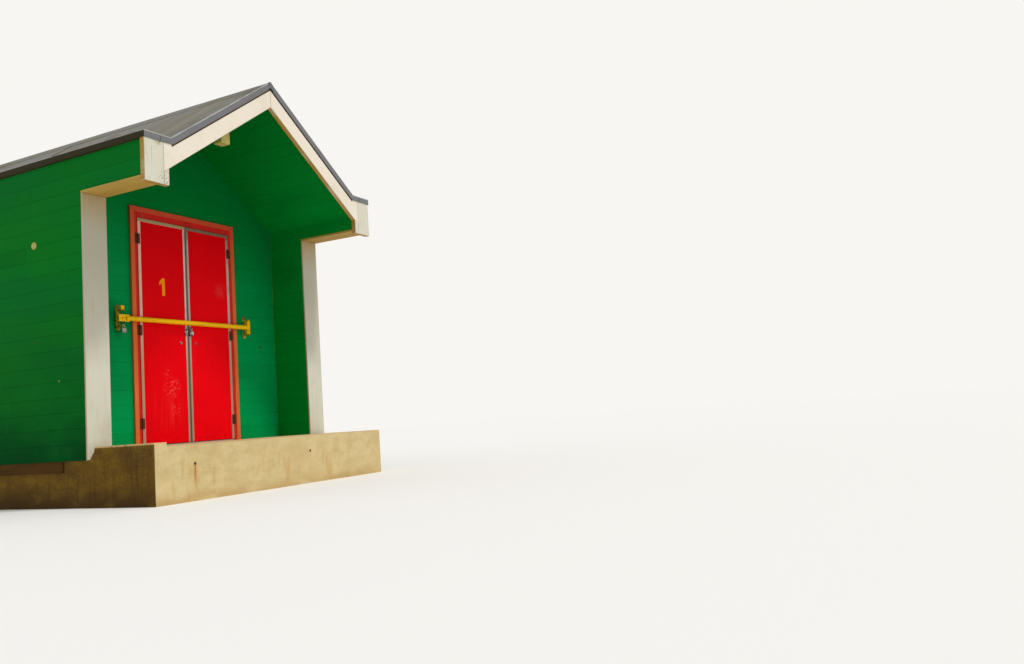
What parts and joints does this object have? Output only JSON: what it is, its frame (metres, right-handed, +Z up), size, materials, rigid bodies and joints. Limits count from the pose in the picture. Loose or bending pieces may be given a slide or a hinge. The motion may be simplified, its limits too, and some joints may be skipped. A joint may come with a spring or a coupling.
{
  "type": "beach hut",
  "caption": "Gabled timber beach hut on a concrete base, with a recessed porch and a pair of outward doors behind a swinging locking bar.",
  "frame": {"origin": "middle of the hut's box at ground level", "axes": "+Z up, the front faces -Y, +X to the right as seen from the front"},
  "size_m": [2.724, 3.874, 3.528],
  "materials": {
    "green_boards": "exterior gloss paint, faded and chalking",
    "white_boards": "off-white exterior paint, yellowed at the edges",
    "red_paint": "exterior gloss paint, scuffed low down",
    "orange_paint": "faded red-brown paint",
    "brown_timber": "dark stained timber",
    "raw_timber": "sawn softwood",
    "concrete": "cast, stained and damp",
    "felt": "weathered mineral felt",
    "grey_trim": "dull grey",
    "edge_strip": "dull mill finish",
    "dark_steel": "rusted",
    "yellow_paint": "chipped gloss",
    "bracket_paint": "chipped gloss",
    "bright_steel": "tarnished plate",
    "cream_plastic": "aged"
  },
  "bodies": {
    "hut": {"concrete_plinth": "concrete", "sole_beams": "brown_timber", "room_floor": "raw_timber", "left_wall": "green_boards", "right_party_wall": "green_boards", "back_wall": "green_boards", "front_wall_left": "green_boards", "front_wall_right": "green_boards", "front_gable": "green_boards", "post_boards": "white_boards", "soffit_boards": "white_boards", "left_eaves_block": "white_boards", "right_eaves_block": "white_boards", "left_bargeboard": "white_boards", "right_bargeboard": "white_boards", "back_bargeboards": "white_boards", "verge_battens": "brown_timber", "left_porch_ceiling": "green_boards", "right_porch_ceiling": "green_boards", "rafters": "raw_timber", "ridge_board": "raw_timber", "left_roof_deck": "raw_timber", "right_roof_deck": "raw_timber", "roof_covering": "felt", "front_roof_trim": "grey_trim", "back_roof_trim": "grey_trim", "side_roof_trims": "grey_trim", "side_fascias": "brown_timber", "door_frame": "red_paint", "architrave": "orange_paint", "threshold": "edge_strip", "frame_hinges": "dark_steel", "left_bracket": "bracket_paint", "right_bracket": "bracket_paint", "bracket_padlock": "bright_steel", "porch_light": "cream_plastic", "wall_cap": "cream_plastic"},
    "left_door": {"left_leaf": "red_paint", "left_leaf_trim": "edge_strip", "left_leaf_fittings": "dark_steel"},
    "right_door": {"right_leaf": "red_paint", "right_leaf_trim": "edge_strip", "right_leaf_fittings": "dark_steel", "leaf_padlock": "bright_steel"},
    "bar": {"locking_bar": "yellow_paint"}
  },
  "joints": [
    {"name": "locking_bar_swing", "type": "hinge", "parent": "hut", "child": "bar", "pos_m": [0.714, -0.879, 1.5], "axis": [0, 0, 1], "range_deg": [0, 110]},
    {"name": "right_door_hinge", "type": "hinge", "parent": "hut", "child": "right_door", "pos_m": [0.525, -0.8415, 1.413], "axis": [0, 0, 1], "range_deg": [0, 105]},
    {"name": "left_door_hinge", "type": "hinge", "parent": "hut", "child": "left_door", "pos_m": [-0.525, -0.8415, 1.413], "axis": [0, 0, -1], "range_deg": [0, 105]}
  ],
  "couplings": [
    {"joint": "right_door_hinge", "follows": "locking_bar_swing", "ratio": 0.95},
    {"joint": "left_door_hinge", "follows": "locking_bar_swing", "ratio": 0.95}
  ]
}
